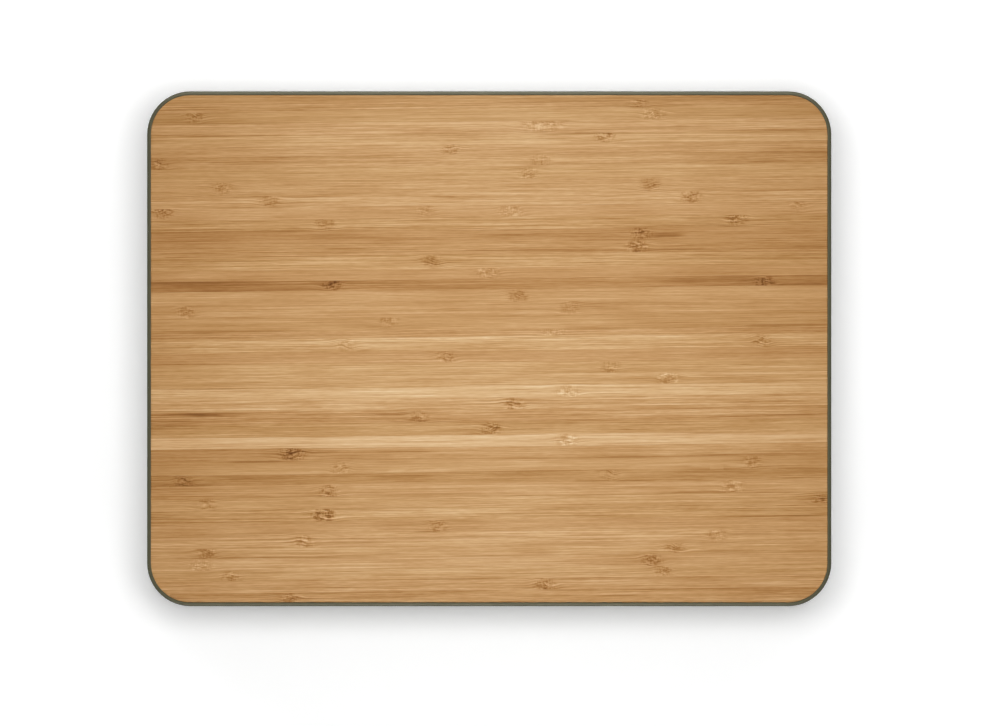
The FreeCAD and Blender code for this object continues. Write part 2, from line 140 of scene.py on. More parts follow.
# Streaks that stand out: left and right end, level at mid length and half thickness in mm, and darkness.
# One of less than 0 is paler than its strip.
STREAKS = [
    (-187, -75, 124.8, 0.5, 0.4), (-187, -110, 118.0, 0.5, 0.5), (-140, -37, 107.0, 0.5, 0.6),
    (-112, -22, 85.0, 0.7, 0.8), (-187, -150, 84.5, 0.5, 0.4), (-102, -60, 62.0, 1.4, 0.45),
    (-90, -67, 55.5, 0.4, 0.9), (-187, -140, 60.5, 2.0, 0.4), (-187, -155, 52.8, 0.5, 0.7),
    (-187, -115, 36.0, 1.8, 0.45), (-187, -100, 31.9, 0.5, 0.6), (-187, -105, 9.6, 1.3, 0.5),
    (-170, -118, 17.2, 0.4, 0.5), (-170, -130, 24.0, 0.4, 0.4), (-64, -5, 118.7, 0.9, 0.7),
    (-33, -18, 84.5, 0.6, 0.55), (20, 46, 126.0, 0.6, 0.8), (30, 64, 119.3, 1.0, 0.55),
    (-25, 8, 73.0, 0.6, 0.5), (-4, 76, 63.0, 1.2, 1.0), (-64, -20, 60.9, 0.9, 0.5),
    (20, 82, 54.6, 0.6, 0.75), (-64, 25, 34.0, 1.1, 0.5), (-64, 10, 18.6, 0.6, 0.45),
    (40, 66, 11.6, 0.9, 0.45), (88, 108, 63.1, 1.1, 1.8), (84, 122, 55.1, 0.6, 0.8),
    (138, 190, 56.2, 0.9, 0.6), (98, 140, 38.0, 1.0, 0.3), (154, 190, 35.6, 0.7, 0.6),
    (115, 188, 121.1, 0.4, 0.7), (140, 188, 127.4, 0.6, 0.8), (133, 188, 87.7, 0.5, 0.5),
    (150, 190, 110.8, 1.4, 0.45), (140, 190, 12.8, 1.0, 0.5), (150, 190, 21.0, 0.7, 0.5),
    (108, 136, 71.9, 0.9, 0.7), (-187, -137, -8.8, 0.5, 0.7), (-167, -149, -37.0, 0.7, 1.0),
    (-182, -140, -36.0, 1.0, 0.45), (-182, -160, -42.8, 0.5, 0.5), (-146, -111, -62.7, 0.5, 1.0),
    (-106, -84, -57.0, 0.9, 0.4), (-146, -104, -72.2, 1.2, 0.75), (-187, -153, -76.0, 0.9, 0.9),
    (-187, -130, 68.9, 1.1, 0.7), (-187, -178, -83.0, 0.4, 0.7), (-172, -120, -82.2, 1.0, 0.4),
    (-187, -125, -104.0, 0.5, 0.5), (-165, -135, -115.8, 1.1, 0.5), (-140, -62, -115.5, 0.5, 0.5),
    (-120, -80, -96.8, 0.4, 0.5), (-85, -62, -138.0, 0.6, 0.5), (-104, -96, -92.3, 0.8, 0.5),
    (-187, -100, -22.3, 0.5, 0.55), (-52, -24, -21.0, 0.4, 0.7), (-64, -44, -36.2, 1.2, 0.45),
    (-14, -1, -47.3, 0.6, 0.9), (-1, 26, -48.0, 0.4, 0.6), (-64, -34, -57.2, 1.2, 0.45),
    (10, 64, -60.7, 0.5, 0.65), (-66, -34, -71.0, 1.1, 0.8), (0, 32, -70.4, 0.9, 0.3),
    (-60, -10, -80.9, 0.5, 0.6), (47, 66, -73.3, 0.6, 0.8), (0, 42, -79.8, 0.5, 0.5),
    (-30, -4, -95.0, 0.5, 0.55), (-40, -27, -101.5, 0.5, 0.8), (14, 36, -113.0, 0.9, 0.5),
    (47, 64, -113.4, 0.6, 0.55), (-46, 20, -127.5, 0.6, 0.5), (47, 80, -126.8, 0.5, 0.5),
    (4, 46, -136.8, 0.6, 0.5), (-64, -38, -138.0, 0.8, 0.5), (108, 190, -58.7, 0.7, 0.8),
    (66, 106, -60.0, 0.5, 0.5), (158, 190, -67.3, 1.5, 0.5), (106, 146, -66.8, 1.8, 0.45),
    (135, 187, -90.6, 1.2, 0.55), (66, 92, -73.2, 0.5, 0.7), (104, 141, -79.4, 0.5, 0.6),
    (132, 190, -92.8, 0.5, 0.8), (114, 147, -112.4, 0.8, 0.6), (165, 190, -112.0, 0.6, 0.5),
    (98, 190, -46.4, 0.5, 0.7), (58, 122, -31.9, 0.7, 1.1), (134, 190, -31.3, 0.4, 0.5),
    (150, 190, -25.3, 0.5, 0.6), (128, 190, -17.7, 0.6, 0.9), (60, 86, -137.0, 0.6, 0.6),
    (132, 148, -65.0, 0.9, -0.6), (112, 125, -65.0, 0.9, -0.45), (-42, -22, -67.6, 0.7, -0.45),
    (-56, -46, -67.5, 0.7, -0.4), (26, 42, 123.0, 0.6, -0.6), (60, 150, 101.3, 0.5, -0.35),
    (-95, -40, -125.2, 1.0, 0.6), (130, 187, -50.3, 1.3, 0.6), (135, 180, -125.3, 0.8, 0.6),
    (-187, -135, 133.0, 1.0, 0.5), (80, 112, -112.7, 0.8, 0.5), (8, 58, 6.2, 0.6, 0.6),
    (0, 35, 52.0, 0.8, -0.4), (-75, -45, 52.0, 0.8, -0.4), (30, 62, -19.6, 0.6, 0.5),
    (130, 187, -29.3, 1.0, 0.5), (60, 90, -52.5, 0.6, 0.5), (-110, -82, -20.8, 0.6, 0.5),
    (88, 168, -74.8, 1.2, -0.4), (-5, 20, 64.9, 0.8, -0.4), (-80, -60, -92.6, 0.8, 0.5),
    (-187, -155, -29.6, 0.8, 0.5), (45, 100, -102.8, 0.8, 0.5), (95, 130, -16.4, 0.7, -0.3),
]

# Streaks: how far past its ends one is still looked for, as a share of its length, and what it adds to
# the tone
STREAK_SPARE = 0.2
STREAK_CHANGE = -0.2

# Painted shade: how much darker the tone is at the board's left and right ends, where light falls off
END_PAINTED_SHADE = 0.115

# What differs by chance from strip to strip: seed of its noises, gain of tone at its ends and across it, hue,
# contrast of its fibres and darkness of its glue lines, and by knuckle how far the fibres turn aside
SEED_RANGE = (0, 900)
END_RANGE = (-0.02, 0.02)
SLOPE_RANGE = (-0.04, 0.04)
HUE_RANGE = (-0.0002, 0.0022)
CONTRAST_RANGE = (0.7, 1.25)
LINE_RANGE = (0.0, 0.45)
TWIST_RANGE = (0.1, 0.45)

# Setting of the hue node that changes nothing
UNCHANGED_HUE = 0.5

# Fibres: length, thickness and step aside in mm, and how far they change the tone. The step aside makes kinds
# of like thickness differ. Veins are the peaks of their noise, and pores also show in the relief.
FIBRES = {
    "fine": (140.0, 0.40, 0.0, 0.18),
    "hairs": (30.0, 0.40, 200.0, 0.19),
    "grain": (90.0, 1.0, 0.0, 0.12),
    "band": (110.0, 2.6, 0.0, 0.075),
    "pores": (6.0, 0.42, 0.0, 0.12),
    "veins": (34.0, 0.6, 400.0, -0.12),
}
VEIN_LEVELS = (0.62, 0.76)
PORE_RELIEF = 0.5

# Clouds, which are wider changes of tone: length and thickness in mm, and how far they change it
CLOUD_MM = (45.0, 10.0)
CLOUD_CHANGE = 0.085

# Glue lines: where they start and are full across a strip, with 0 at its front edge and 1 at its rear,
# the noise by which they come and go along it, and what they add to the tone
GLUE_FRONT = (0.08, 0.01)
GLUE_REAR = (0.91, 0.985)
GLUE_LENGTH_MM = 38.0
GLUE_LEVELS = (0.25, 0.7)
GLUE_CHANGE = -0.16

# Parts of a usual knuckle: half length and half height in mm of its flecked core, of its stain, and of where
# fibres bend round it and turn aside
CORE_MM = (5.4, 4.0)
STAIN_MM = (4.6, 3.2)
BEND_MM = (8.0, 4.0)
TURN_MM = (4.5, 4.5)

# Length and thickness in mm of its flecks, cross bars and wobble, length of its tails, share of the flecks
# beside the bars, and how far fibres bend and wobble
FLECK_MM = (3.2, 0.85)
BAR_MM = (0.9, 2.6)
WOBBLE_MM = (5.0, 3.0)
TAIL_MM = 15.0
FLECK_SHARE = 0.7
BEND_SHARE = -0.5
WOBBLE_HEIGHT_MM = 0.5

# Levels of noise between which flecks turn dark or pale and tails turn dark, and what each part adds to
# the tone
DARK_LEVELS = (0.47, 0.60)
PALE_LEVELS = (0.47, 0.36)
TAIL_LEVELS = (0.55, 0.36)
DARK_CHANGE = -0.285
PALE_CHANGE = 0.2
STAIN_CHANGE = -0.09
TAIL_CHANGE = -0.13

# Colours, as seen on a screen
FIBRE_COLOURS = [
    (0.0, (100, 55, 10)), (0.30, (149, 98, 44)), (0.50, (176, 128, 74)), (0.64, (192, 147, 95)),
    (0.76, (206, 164, 115)), (0.88, (218, 182, 136)), (1.0, (230, 203, 162)),
]
OLIVE = (62, 61, 40)
OLIVE_WORN = (78, 76, 54)
NATURAL = (205, 203, 196)
NATURAL_SHADE = (188, 185, 176)
SILICONE = (84, 84, 78)
SILICONE_DUST = (104, 103, 96)
ZINC = (190, 188, 184)
ZINC_DULL = (160, 159, 156)

# Surface of each finish: mean roughness, depth of its fine relief in mm, and strength of that relief
SURFACES = {
    "bamboo": (0.7, 0.03, 0.5),
    "olive_plastic": (0.58, 0.05, 0.35),
    "runner_plastic": (0.36, 0.03, 0.4),
    "silicone": (0.72, 0.04, 0.4),
    "screw_steel": (0.32, 0.02, 0.4),
}

# Olive plastic: its mean wear, levels of noise at which scuffs show, and what they add to wear and roughness
OLIVE_MEAN_WEAR = 0.4
SCUFF_LEVELS = (0.58, 0.78)
SCUFF_WEAR = 0.25
SCUFF_POLISH = -0.07

# Floor: half its width, its grey for the light that it throws back, and for the camera how bright it is
# beside the object and past the shadow, and how far it glows by itself
FLOOR_REACH = 40.0
FLOOR_GREY = 0.8
FLOOR_WHITE = 1.24
FLOOR_WHITE_FAR = 1.62
FLOOR_GLOW = 0.22

# How far from the middle of the floor the object and its shadow reach, and the stretch over which the floor
# then fades to white
BODY_REACH = 0.24
SHADOW_REACH = 0.34
SHADOW_FADE = 0.25

# Room light from the rear and from the front, and the heights at which its white horizon ends and is full
ROOM_LIGHT_REAR = 0.55
ROOM_LIGHT_FRONT = 0.05
HORIZON_TOP = 0.45
HORIZON_FULL = 0.15

# Lamps, a softbox overhead and two long ones behind and in front: place, target, width and depth, spread in
# degrees, watts, and whether they only show as gloss
LAMPS = {
    "overhead": ((0.02, 0.05, 1.05), (0.005, 0.0, 0.06), (0.52, 0.36), 120, 3.36, False),
    "rear_light": ((0.0, 0.85, 0.62), (0.0, 0.0, 0.06), (0.50, 0.22), 110, 9.3, True),
    "front_light": ((0.0, -0.85, 0.62), (0.0, 0.0, 0.06), (0.50, 0.22), 110, 6.6, True),
}

# Camera: straight above, with the picture's middle over this point of the board's top
PICTURE_WIDTH_PX = 1000
MM_PER_PIXEL = 0.5547
AIM_X_MM = 6.0
AIM_Y_MM = -7.9
CAMERA_ABOVE = 1.6
SENSOR_MM = 36.0


# Shader nodes

def linear(colour):
    """A screen colour, 0 to 255, as the linear values that shaders take."""
    shares = [value / 255 for value in colour]
    return tuple(s / 12.92 if s <= 0.04045 else ((s + 0.055) / 1.055) ** 2.4 for s in shares)


class NodeTree:
    """A tree of shader nodes, with short calls for the nodes used here."""

    def __init__(self, tree):
        self.nodes = tree.nodes
        self.links = tree.links

    def add(self, kind, settings=(), **inputs):
        """A new node: its settings first, then its sockets by name, each a value or a link."""
        node = self.nodes.new("ShaderNode" + kind)
        for key, value in dict(settings).items():
            setattr(node, key, value)
        for socket, value in inputs.items():
            self.feed(node.inputs[socket.replace("_", " ")], value)
        return node

    def feed(self, socket, value):
        if isinstance(value, bpy.types.NodeSocket):
            self.links.new(value, socket)
        else:
            socket.default_value = value

    def feed_in_order(self, node, *values):
        """Fills a node's first sockets, and gives its output."""
        for socket, value in zip(node.inputs, values):
            self.feed(socket, value)
        return node.outputs[0]

    def math(self, operation, *values):
        return self.feed_in_order(self.add("Math", {"operation": operation}), *values)

    def mix_shaders(self, share, first, second):
        return self.feed_in_order(self.add("MixShader"), share, first, second)

    def total(self, *values):
        result = values[0]
        for value in values[1:]:
            result = self.math("ADD", result, value)
        return result

    def product(self, *values):
        result = values[0]
        for value in values[1:]:
            result = self.math("MULTIPLY", result, value)
        return result

    def step(self, value, low, high):
        """0 below low, 1 above high and smooth between, or the other way round if low is the larger."""
        settings = {"interpolation_type": "SMOOTHSTEP"}
        if low < high:
            return self.add("MapRange", settings, Value=value, From_Min=low, From_Max=high).outputs[0]
        ends = {"To_Min": 1.0, "To_Max": 0.0}
        return self.add("MapRange", settings, Value=value, From_Min=high, From_Max=low, **ends).outputs[0]

    def seen_directly(self):
        """1 for what the camera sees, by itself or in gloss or glass."""
        path = self.add("LightPath").outputs
        seen_or_gloss = self.math("MAXIMUM", path["Is Camera Ray"], path["Is Glossy Ray"])
        return self.math("MAXIMUM", seen_or_gloss, path["Is Transmission Ray"])


class Finish(NodeTree):
    """A material of the object, named after its slot."""

    def __init__(self, name, **constants):
        self.name = name
        self.material = bpy.data.materials.new(name)
        self.material.use_nodes = True
        super().__init__(self.material.node_tree)
        self.surface = self.nodes["Principled BSDF"].inputs
        for socket, value in constants.items():
            self.surface[socket.replace("_", " ")].default_value = value

    def about_zero(self, value, gain):
        """A noise of 0 to 1 turned into one of about -gain to gain."""
        return self.product(self.math("SUBTRACT", value, 0.5), 2 * gain)

    def blend(self, first, second, first_share):
        """Two noises in one, the first with its share and the second with the rest."""
        return self.total(self.product(first, first_share), self.product(second, 1 - first_share))

    def attribute(self, name):
        """The three parts of a vector attribute of the mesh."""
        vector = self.add("Attribute", {"attribute_name": name}).outputs["Vector"]
        return self.add("SeparateXYZ", Vector=vector).outputs

    def place(self, x, y, z):
        return self.add("CombineXYZ", X=x, Y=y, Z=z).outputs[0]

    def own_place(self):
        """Place on the object, which travels with it, in metres."""
        return self.add("TexCoord").outputs["Object"]

    def stretched(self, place, scale):
        return self.add("Mapping", Vector=place, Scale=scale).outputs[0]

    def noise(self, vector, scale=1.0, detail=2.0, roughness=0.5):
        inputs = {"Vector": vector, "Scale": scale, "Detail": detail, "Roughness": roughness}
        return self.add("TexNoise", **inputs).outputs["Fac"]

    def ramp(self, value, stops):
        node = self.add("ValToRGB", Fac=value)
        elements = node.color_ramp.elements
        while len(elements) < len(stops):
            elements.new(0.5)
        for element, (position, colour) in zip(elements, stops):
            element.position = position
            element.color = (*linear(colour), 1.0)
        return node.outputs["Color"]

    def wear(self, colour, relief, *roughness_changes):
        """Sets what varies over the surface: colour, relief and roughness."""
        roughness, depth_mm, strength = SURFACES[self.name]
        normal = self.add("Bump", Height=relief, Distance=depth_mm * MM, Strength=strength).outputs["Normal"]
        self.feed(self.surface["Base Color"], colour)
        self.feed(self.surface["Roughness"], self.total(roughness, *roughness_changes))
        self.feed(self.surface["Normal"], normal)
        return self.material


# Finishes, one for each slot

def bamboo_finish():
    """Side-pressed bamboo: strip tones, fibres along the grain, glue lines, streaks and knuckles."""
    finish = Finish("bamboo", Specular_IOR_Level=0.1)
    x, y, seed = finish.attribute("grain_place")
    across, line, contrast = finish.attribute("strip_place")
    # This tone holds painted shade towards the board's ends as well as the strip's own tone
    tone, slope, hue = finish.attribute("strip_look")
    beside, above, twist = finish.attribute("knuckle_place")

    y_bent = bent_fibres(finish, x, y, seed, beside, above, twist)
    noises = {name: fibre_noise(finish, name, x, y_bent, seed) for name in FIBRES}
    fine = noises["fine"]
    cloud = noise_at(finish, x, y, seed, CLOUD_MM, detail=1.0)
    shade = finish.total(
        tone,
        finish.product(fibre_shade(finish, noises), contrast),
        finish.about_zero(cloud, CLOUD_CHANGE),
        finish.product(finish.math("SUBTRACT", across, 0.5), slope),
        glue_shade(finish, x, seed, across, line),
        streak_shade(finish, "streak_first", fine),
        streak_shade(finish, "streak_second", fine),
        knuckle_shade(finish, x, y, seed, beside, above, fine),
    )
    colour = finish.ramp(shade, FIBRE_COLOURS)
    turned = finish.math("ADD", hue, UNCHANGED_HUE)
    tinted = finish.add("HueSaturation", Hue=turned, Color=colour).outputs["Color"]
    relief = finish.total(fine, finish.product(noises["pores"], PORE_RELIEF))
    return finish.wear(
        tinted,
        relief,
        finish.about_zero(fine, gain=0.06),
        finish.about_zero(noises["band"], gain=0.05),
    )


def noise_at(finish, x, y, seed, grain_mm, detail=2.0):
    """Noise whose grains have this length and thickness, and differ from strip to strip."""
    length, thickness = grain_mm
    place = finish.place(finish.product(x, 1 / length), finish.product(y, 1 / thickness), seed)
    return finish.noise(place, detail=detail)


def fibre_noise(finish, name, x, y, seed):
    """Noise of one kind of fibre."""
    length, thickness, aside = FIBRES[name][:3]
    return noise_at(finish, x, finish.math("ADD", y, aside), seed, (length, thickness), detail=1.0)


def fibre_shade(finish, noises):
    """What all the fibres add to the tone. Veins are only the peaks of their noise."""
    changes = []
    for name, noise in noises.items():
        change = FIBRES[name][-1]
        if name == "veins":
            changes.append(finish.product(finish.step(noise, *VEIN_LEVELS), change))
        else:
            changes.append(finish.about_zero(noise, change))
    return finish.total(*changes)


def mound(finish, beside, above, half_mm, plateau=False):
    """1 in the middle, falling to 0 round it. half_mm holds half its length and half its height.

    A plateau stays near 1 for most of the way and then falls steeply.
    """
    half_length, half_height = half_mm
    along = finish.product(beside, 1 / half_length)
    across = finish.product(above, 1 / half_height)
    total = finish.total(finish.product(along, along), finish.product(across, across))
    if plateau:
        total = finish.product(total, total)
    return finish.math("EXPONENT", finish.product(total, -1.0))


def bent_fibres(finish, x, y, seed, beside, above, twist):
    """Y on the strip, bent where fibres pass a knuckle: they spread, turn aside and wobble there."""
    near = mound(finish, beside, above, BEND_MM)
    lift = finish.product(above, near, BEND_SHARE)
    turn = finish.product(beside, mound(finish, beside, above, TURN_MM), twist)
    wobble_noise = finish.about_zero(noise_at(finish, x, y, seed, WOBBLE_MM), gain=1.0)
    wobble = finish.product(wobble_noise, near, WOBBLE_HEIGHT_MM)
    return finish.total(y, lift, turn, wobble)


def glue_shade(finish, x, seed, across, line):
    """What the uneven glue lines along both edges of a strip add to the tone."""
    noise = finish.noise(finish.place(finish.product(x, 1 / GLUE_LENGTH_MM), 0.0, seed))
    edges = finish.math("MAXIMUM", finish.step(across, *GLUE_REAR), finish.step(across, *GLUE_FRONT))
    return finish.product(edges, line, finish.step(noise, *GLUE_LEVELS), GLUE_CHANGE)


def streak_shade(finish, name, fine):
    """What one of the streaks near a place adds to the tone."""
    along, across, darkness = finish.attribute(name)
    square = finish.product(along, along)
    body = finish.total(finish.product(square, square), finish.product(across, across))
    depth = finish.math("EXPONENT", finish.product(body, -1.0))
    broken = finish.total(1.0, finish.about_zero(fine, gain=-1.0))
    return finish.product(depth, darkness, broken, STREAK_CHANGE)


def knuckle_shade(finish, x, y, seed, beside, above, fine):
    """What a knuckle adds to the tone: dark and pale flecks, a stain, and tails along the grain."""
    darkness, paleness, brown = finish.attribute("knuckle_look")
    core = mound(finish, beside, above, CORE_MM, plateau=True)
    flecks = noise_at(finish, x, y, seed, FLECK_MM)
    bars = noise_at(finish, x, y, seed, BAR_MM, detail=1.0)
    mixed = finish.blend(flecks, bars, FLECK_SHARE)
    reach = finish.math("EXPONENT", finish.product(finish.math("ABSOLUTE", beside), -1 / TAIL_MM))
    return finish.total(
        finish.product(finish.step(mixed, *DARK_LEVELS), core, darkness, DARK_CHANGE),
        finish.product(mound(finish, beside, above, STAIN_MM, plateau=True), brown, STAIN_CHANGE),
        finish.product(finish.step(mixed, *PALE_LEVELS), core, paleness, PALE_CHANGE),
        finish.product(finish.step(fine, *TAIL_LEVELS), reach, darkness, TAIL_CHANGE),
    )


def olive_finish():
    """Moulded olive plastic with a fine spark texture and slightly polished patches."""
    finish = Finish("olive_plastic", IOR=1.49, Specular_IOR_Level=0.3, Specular_Tint=(1.0, 0.96, 0.78, 1.0))
    place = finish.own_place()
    grain = finish.noise(place, scale=1900.0)
    cloud = finish.noise(place, scale=22.0, detail=3.0)
    scuff = finish.step(finish.noise(place, scale=90.0, detail=4.0, roughness=0.65), *SCUFF_LEVELS)
    shade = finish.total(
        finish.about_zero(cloud, gain=0.35),
        finish.about_zero(grain, gain=0.25),
        finish.product(scuff, SCUFF_WEAR),
        OLIVE_MEAN_WEAR,
    )
    colour = finish.ramp(shade, [(0.0, OLIVE), (1.0, OLIVE_WORN)])
    return finish.wear(
        colour,
        grain,
        finish.about_zero(cloud, gain=0.05),
        finish.product(scuff, SCUFF_POLISH),
    )


def runner_finish():
    """Natural slippery plastic with faint flow marks along the strips."""
    finish = Finish("runner_plastic", IOR=1.48)
    place = finish.own_place()
    flow = finish.noise(finish.stretched(place, (30.0, 900.0, 900.0)), detail=3.0)
    grain = finish.noise(place, scale=1500.0)
    shade = finish.blend(flow, grain, first_share=0.8)
    colour = finish.ramp(shade, [(0.25, NATURAL_SHADE), (0.75, NATURAL)])
    return finish.wear(colour, flow, finish.about_zero(flow, gain=0.08))


def silicone_finish():
    """Soft matt silicone with a dusty bloom."""
    finish = Finish("silicone", IOR=1.41)
    place = finish.own_place()
    bloom = finish.noise(place, scale=260.0, detail=4.0, roughness=0.65)
    grain = finish.noise(place, scale=2600.0)
    shade = finish.blend(bloom, grain, first_share=0.8)
    colour = finish.ramp(shade, [(0.3, SILICONE), (0.8, SILICONE_DUST)])
    return finish.wear(colour, grain, finish.about_zero(bloom, gain=0.1))


def steel_finish():
    """Zinc-plated steel, slightly cloudy, with turning marks."""
    finish = Finish("screw_steel", Metallic=1.0)
    place = finish.own_place()
    cloud = finish.noise(place, scale=700.0, detail=3.0)
    marks = finish.noise(finish.stretched(place, (300.0, 300.0, 4000.0)))
    colour = finish.ramp(cloud, [(0.3, ZINC_DULL), (0.7, ZINC)])
    return finish.wear(
        colour,
        marks,
        finish.about_zero(cloud, gain=0.08),
        finish.about_zero(marks, gain=0.06),
    )


# Shape of the board

def glue_line_y(index, x):
    """Y in mm of the line behind strip number index: it leans with the grain and wavers a little."""
    level = REAR_LIMIT_MM if index == 0 else STRIPS[index - 1][0]
    phase = random.Random(STRIP_SEED + index).uniform(0, math.tau)
    return level + GRAIN_LEAN * x + WAVER_MM * math.sin(x / WAVER_LENGTH_MM + phase)


def strip_at(x, y):
    """Number of the strip that holds a point, in mm."""
    for index in range(len(STRIPS)):
        if y >= glue_line_y(index + 1, x):
            return index
    return len(STRIPS) - 1


def board_outline(half_x, half_y, radius):
    """Corner points of a rounded rectangle, anticlockwise."""
    points = []
    for quarter, (sign_x, sign_y) in enumerate(((1, 1), (-1, 1), (-1, -1), (1, -1))):
        for step in range(CORNER_STEPS + 1):
            angle = math.radians(90 * (quarter + step / CORNER_STEPS))
            x = sign_x * (half_x - radius) + radius * math.cos(angle)
            y = sign_y * (half_y - radius) + radius * math.sin(angle)
            points.append((x, y))
    return points


def strip_sheet(top, half_x, half_y, radius):
    """A flat sheet of all the strips, cut to a rounded outline. Each face knows its strip."""
    sheet = bmesh.new()
    strip_layer = sheet.faces.layers.int.new("strip")
    count = round(2 * SHEET_REACH_MM / COLUMN_MM)
    columns = [-SHEET_REACH_MM + COLUMN_MM * i for i in range(count + 1)]
    lines = [[sheet.verts.new((x * MM, glue_line_y(index, x) * MM, top)) for x in columns]
             for index in range(len(STRIPS) + 1)]
    for index in range(len(STRIPS)):
        rear, front = lines[index], lines[index + 1]
        for i in range(count):
            face = sheet.faces.new((front[i], front[i + 1], rear[i + 1], rear[i]))
            face[strip_layer] = index
    points = board_outline(half_x, half_y, radius)
    for (x1, y1), (x2, y2) in zip(points, points[1:] + points[:1]):
        everything = sheet.verts[:] + sheet.edges[:] + sheet.faces[:]
        bmesh.ops.bisect_plane(sheet, geom=everything, plane_co=(x1, y1, top), plane_no=(y2 - y1, x1 - x2, 0),
                               clear_outer=True)
    return sheet, strip_layer


def rim_walk(sheet):
    """The sheet's edge as a ring of its points with the face inside each stretch."""
    edges = {}
    for edge in sheet.edges:
        if edge.is_boundary:
            loop = edge.link_loops[0]
            edges[loop.vert] = (loop.link_loop_next.vert, loop.face)
    start = next(iter(edges))
    ring = []
    point = start
    while True:
        following, face = edges[point]
        ring.append((point, face))
        point = following
        if point == start:
            return ring


def copy_below(sheet, level):
    """Copies the sheet to a lower level, facing down, and gives each point's copy."""
    under = bmesh.ops.duplicate(sheet, geom=sheet.verts[:] + sheet.edges[:] + sheet.faces[:])
    faces = [item for item in under["geom"] if isinstance(item, bmesh.types.BMFace)]
    bmesh.ops.reverse_faces(sheet, faces=faces)
    for item in under["geom"]:
        if isinstance(item, bmesh.types.BMVert):
            item.co.z = level
    return under["vert_map"]


def outward(point, half_x, half_y, radius):
    """Level direction straight out of a rounded rectangle at a point of its outline."""
    x = max(-half_x + radius, min(half_x - radius, point.x))
    y = max(-half_y + radius, min(half_y - radius, point.y))
    return Vector((point.x - x, point.y - y, 0)).normalized()


def edge_profile(top, seal_top, seal_width, edge_round):
    """The board's edge from the top down to the seal: reach past the sheet's edge, and level."""
    flat = seal_width - edge_round
    profile = [(flat, top)]
    for step in range(1, ROUND_STEPS + 1):
        angle = math.radians(90 * step / ROUND_STEPS)
        profile.append((flat + edge_round * math.sin(angle), top - edge_round * (1 - math.cos(angle))))
    return profile + [(seal_width, seal_top), (0.0, seal_top)]


def close_edge(sheet, strip_layer, ring, rings):
    """Faces from each ring of points to the next. Each belongs to the strip that it starts from."""
    count = len(ring)
    for upper, lower in zip(rings, rings[1:]):
        for i in range(count):
            j = (i + 1) % count
            face = sheet.faces.new((upper[j], upper[i], lower[i], lower[j]))
            face[strip_layer] = ring[i][1][strip_layer]
            face.smooth = True


def board_mesh():
    """The bamboo board: strips above and below, a rounded top edge and the rebate for the seal."""
    low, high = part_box("bamboo_board")
    rim_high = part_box("rim_frame")[1]
    seal_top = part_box("board_seal")[1].z
    seal_width = SEAL_WIDTH_MM * MM
    half_x = high.x - seal_width
    half_y = high.y - seal_width
    radius = BODY_CORNER_MM * MM - (rim_high.x - high.x) - seal_width
    sheet, strip_layer = strip_sheet(high.z, half_x, half_y, radius)
    ring = rim_walk(sheet)
    copies = copy_below(sheet, low.z)
    directions = [outward(point.co, half_x, half_y, radius) for point, face in ring]
    rings = [[point for point, face in ring]]
    for reach, level in edge_profile(high.z, seal_top, seal_width, BOARD_ROUND_MM * MM):
        rings.append([sheet.verts.new((point.co.x + way.x * reach, point.co.y + way.y * reach, level))
                      for (point, face), way in zip(ring, directions)])
    rings.append([copies[point] for point, face in ring])
    close_edge(sheet, strip_layer, ring, rings)
    mesh = bpy.data.meshes.new("bamboo_strips")
    sheet.to_mesh(mesh)
    sheet.free()
    return mesh


# Looks of the strips

def strip_looks():
    """For each strip: seed, tone, its gain at both ends and across, hue shift, contrast and glue lines."""
    chance = random.Random(STRIP_SEED)
    looks = []
    for front, tone in STRIPS:
        left, right = DRIFTS.get(front, (chance.uniform(*END_RANGE), chance.uniform(*END_RANGE)))
        looks.append({
            "seed": chance.uniform(*SEED_RANGE),
            "tone": TONES[tone],
            "left": left,
            "right": right,
            "slope": chance.uniform(*SLOPE_RANGE),
            "hue": chance.uniform(*HUE_RANGE),
            "contrast": chance.uniform(*CONTRAST_RANGE),
            "front_line": chance.uniform(*LINE_RANGE),
            "rear_line": DARK_LINES.get(front, chance.uniform(*LINE_RANGE)),
        })
    return looks


def strip_knuckles():
    """Strip number to its knuckles: place, how far the fibres there turn aside, and kind."""
    chance = random.Random(STRIP_SEED)
    found = {index: [] for index in range(len(STRIPS))}
    for x, y, kind in KNUCKLE_SPOTS:
        twist = chance.choice((-1, 1)) * chance.uniform(*TWIST_RANGE)
        found[strip_at(x, y)].append((x, y, twist, KNUCKLES[kind]))
    return found


def knuckle_values(spot, x, y):
    """Place beside and above the strip's nearest knuckle, in mm of a usual one, its twist, and its kind."""
    if spot is None:
        return (SHEET_REACH_MM, 0.0, 0.0), (0.0, 0.0, 0.0)
    spot_x, spot_y, twist, (darkness, paleness, brown, half_length) = spot
    usual_half_length = KNUCKLES["usual"][-1]
    beside = (x - spot_x) * usual_half_length / half_length
    return (beside, y - spot_y, twist), (darkness, paleness, brown)


def nearest_streaks(x, y):
    """The two streaks that pass nearest to a point, in mm."""
    def gap(streak):
        left, right, level, thickness, darkness = streak
        spare = STREAK_SPARE * (right - left)
        beside = max(left - spare - x, x - right - spare, 0)
        return math.hypot(beside, y - level - GRAIN_LEAN * (x - (left + right) / 2))
    return sorted(STREAKS, key=gap)[:2]


def streak_values(streak, x, y):
    """How far a point lies from a streak's middle, in half lengths and half thicknesses, and its darkness."""
    left, right, level, thickness, darkness = streak
    middle = (left + right) / 2
    along = (x - middle) / ((right - left) / 2)
    across = (y - level - GRAIN_LEAN * (x - middle)) / thickness
    return (along, across, darkness)


def write_attribute(mesh, name, values):
    attribute = mesh.attributes.new(name, "FLOAT_VECTOR", "CORNER")
    attribute.data.foreach_set("vector", [part for value in values for part in value])


